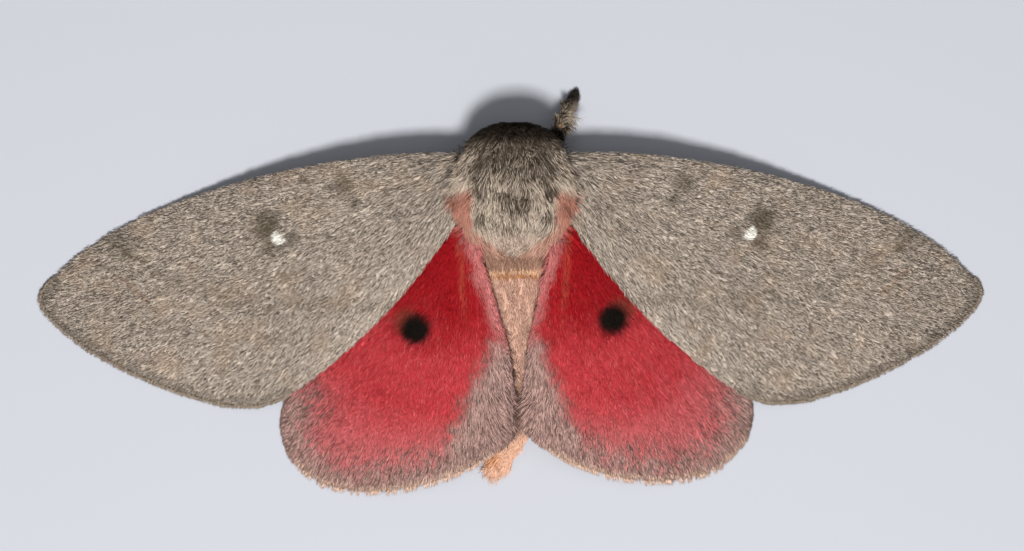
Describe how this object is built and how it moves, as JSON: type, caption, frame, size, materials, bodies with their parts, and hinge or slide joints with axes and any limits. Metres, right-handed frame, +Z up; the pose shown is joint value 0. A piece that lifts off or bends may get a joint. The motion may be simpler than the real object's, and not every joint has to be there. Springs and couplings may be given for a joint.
{
  "type": "silk moth model",
  "caption": "Still life-size silk moth with grey forewings and red hindwings spread flat, furry body, folded feathery antennae and tucked legs",
  "frame": {"origin": "on the floor, under the middle of the whole moth's box", "axes": "+Y towards the head, +X towards the moth's right wing tip, +Z up"},
  "size_m": [0.0799, 0.0338, 0.0106],
  "materials": {
    "grey_coat": "furry, matte",
    "brown_coat": "furry, matte",
    "peach_coat": "furry, matte",
    "grey_wing": "scaled, matte",
    "red_wing": "scaled, matte",
    "eye_dark": "glossy",
    "leg_coat": "furry, matte"
  },
  "bodies": {
    "root": {"thorax": "grey_coat", "head": "brown_coat", "eye_left": "eye_dark", "eye_right": "eye_dark", "antenna_left": "brown_coat", "antenna_right": "brown_coat", "abdomen": "peach_coat", "forewing_left": "grey_wing", "forewing_right": "grey_wing", "hindwing_left": "red_wing", "hindwing_right": "red_wing", "foreleg_left": "leg_coat", "foreleg_right": "leg_coat", "midleg_left": "leg_coat", "midleg_right": "leg_coat", "hindleg_left": "leg_coat", "hindleg_right": "leg_coat"}
  },
  "joints": []
}
